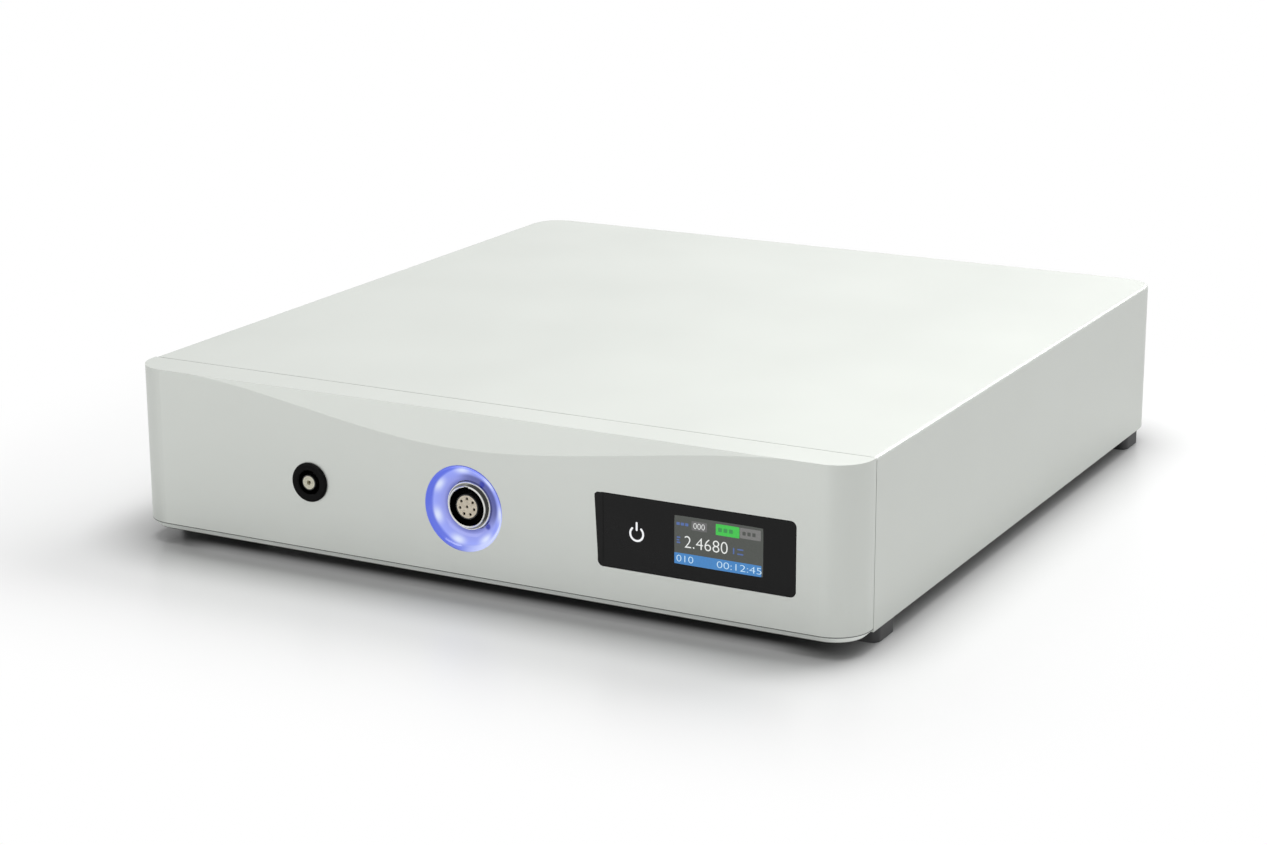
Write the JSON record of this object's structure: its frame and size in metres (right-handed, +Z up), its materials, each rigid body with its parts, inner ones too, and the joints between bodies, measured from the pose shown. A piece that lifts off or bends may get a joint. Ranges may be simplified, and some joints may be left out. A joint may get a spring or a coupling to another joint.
{
  "type": "potentiostat",
  "caption": "Desktop potentiostat in a flat silver aluminium case with a wave-faceted front, lit round cell socket, small black sense socket and a black display window.",
  "frame": {"origin": "bottom centre of the whole instrument, sockets included, on the bench", "axes": "+X to the right seen from the front, +Y from the front to the rear, +Z up"},
  "size_m": [0.29, 0.3184, 0.0665],
  "materials": {
    "case_silver": "bead-blasted, clear anodised",
    "chassis": "satin",
    "foot_rubber": "matt",
    "screw_steel": "satin",
    "window_glass": "polished black",
    "screen_module": "smooth",
    "board_green": "solder mask",
    "ring_clear": "translucent, lit blue",
    "led_body": "lit white",
    "socket_chrome": "polished nickel",
    "socket_insert": "smooth beige",
    "contact_brass": "bright",
    "socket_black": "gloss black",
    "shield_tin": "tinned",
    "sink_black": "black anodised",
    "ferrite": "sintered",
    "capacitor_sleeve": "sleeve",
    "terminal_green": "moulded",
    "ribbon_amber": "film",
    "wire_sleeve": "sleeve",
    "moulding_black": "fine grain",
    "socket_white": "smooth"
  },
  "bodies": {
    "case": {"front_panel": "case_silver", "top_cover": "case_silver", "base_plate": "chassis", "cover_blocks": "chassis", "feet": "foot_rubber", "base_screws": "screw_steel", "foot_screws": "screw_steel", "display_window": "window_glass", "lcd_module": "screen_module", "display_board": "board_green", "display_screws": "screw_steel", "light_ring": "ring_clear", "led_board": "board_green", "leds": "led_body", "connector_plate": "chassis", "plate_screws": "screw_steel", "cell_socket_shell": "socket_chrome", "cell_socket_insert": "socket_insert", "cell_socket_contacts": "contact_brass", "cell_socket_nut": "socket_chrome", "sense_socket_body": "socket_black", "sense_socket_insulator": "socket_insert", "sense_socket_contact": "contact_brass", "sense_socket_nut": "socket_chrome", "measurement_board": "board_green", "measurement_shield": "shield_tin", "main_board": "board_green", "board_standoffs": "contact_brass", "board_screws": "screw_steel", "processor_heat_sink": "sink_black", "supply_board": "board_green", "supply_transformer": "ferrite", "supply_capacitors": "capacitor_sleeve", "supply_heat_sink": "sink_black", "supply_terminals": "terminal_green", "cell_flex": "ribbon_amber", "display_ribbon": "ribbon_amber", "board_link": "ribbon_amber", "mains_wires": "wire_sleeve", "rear_panel": "chassis", "power_inlet": "moulding_black", "inlet_pins": "contact_brass", "inlet_screws": "screw_steel", "switch_frame": "moulding_black", "network_socket": "shield_tin", "usb_socket": "shield_tin", "bnc_bodies": "socket_chrome", "bnc_insulators": "socket_white", "bnc_contacts": "contact_brass", "bnc_nuts": "socket_chrome", "earth_socket": "contact_brass", "earth_nut": "contact_brass", "fan_frame": "moulding_black", "fan_screws": "screw_steel"},
    "fan_rotor": {"fan_rotor": "moulding_black"},
    "switch_rocker": {"switch_rocker": "moulding_black"}
  },
  "joints": [
    {"name": "fan_spin", "type": "hinge", "parent": "case", "child": "fan_rotor", "pos_m": [0.0221, 0.1347, 0.0365], "axis": [0, 1, 0], "continuous": true},
    {"name": "switch_tip", "type": "hinge", "parent": "case", "child": "switch_rocker", "pos_m": [0.05755, 0.1457, 0.0365], "axis": [-1, 0, 0], "range_deg": [0, 20]}
  ]
}
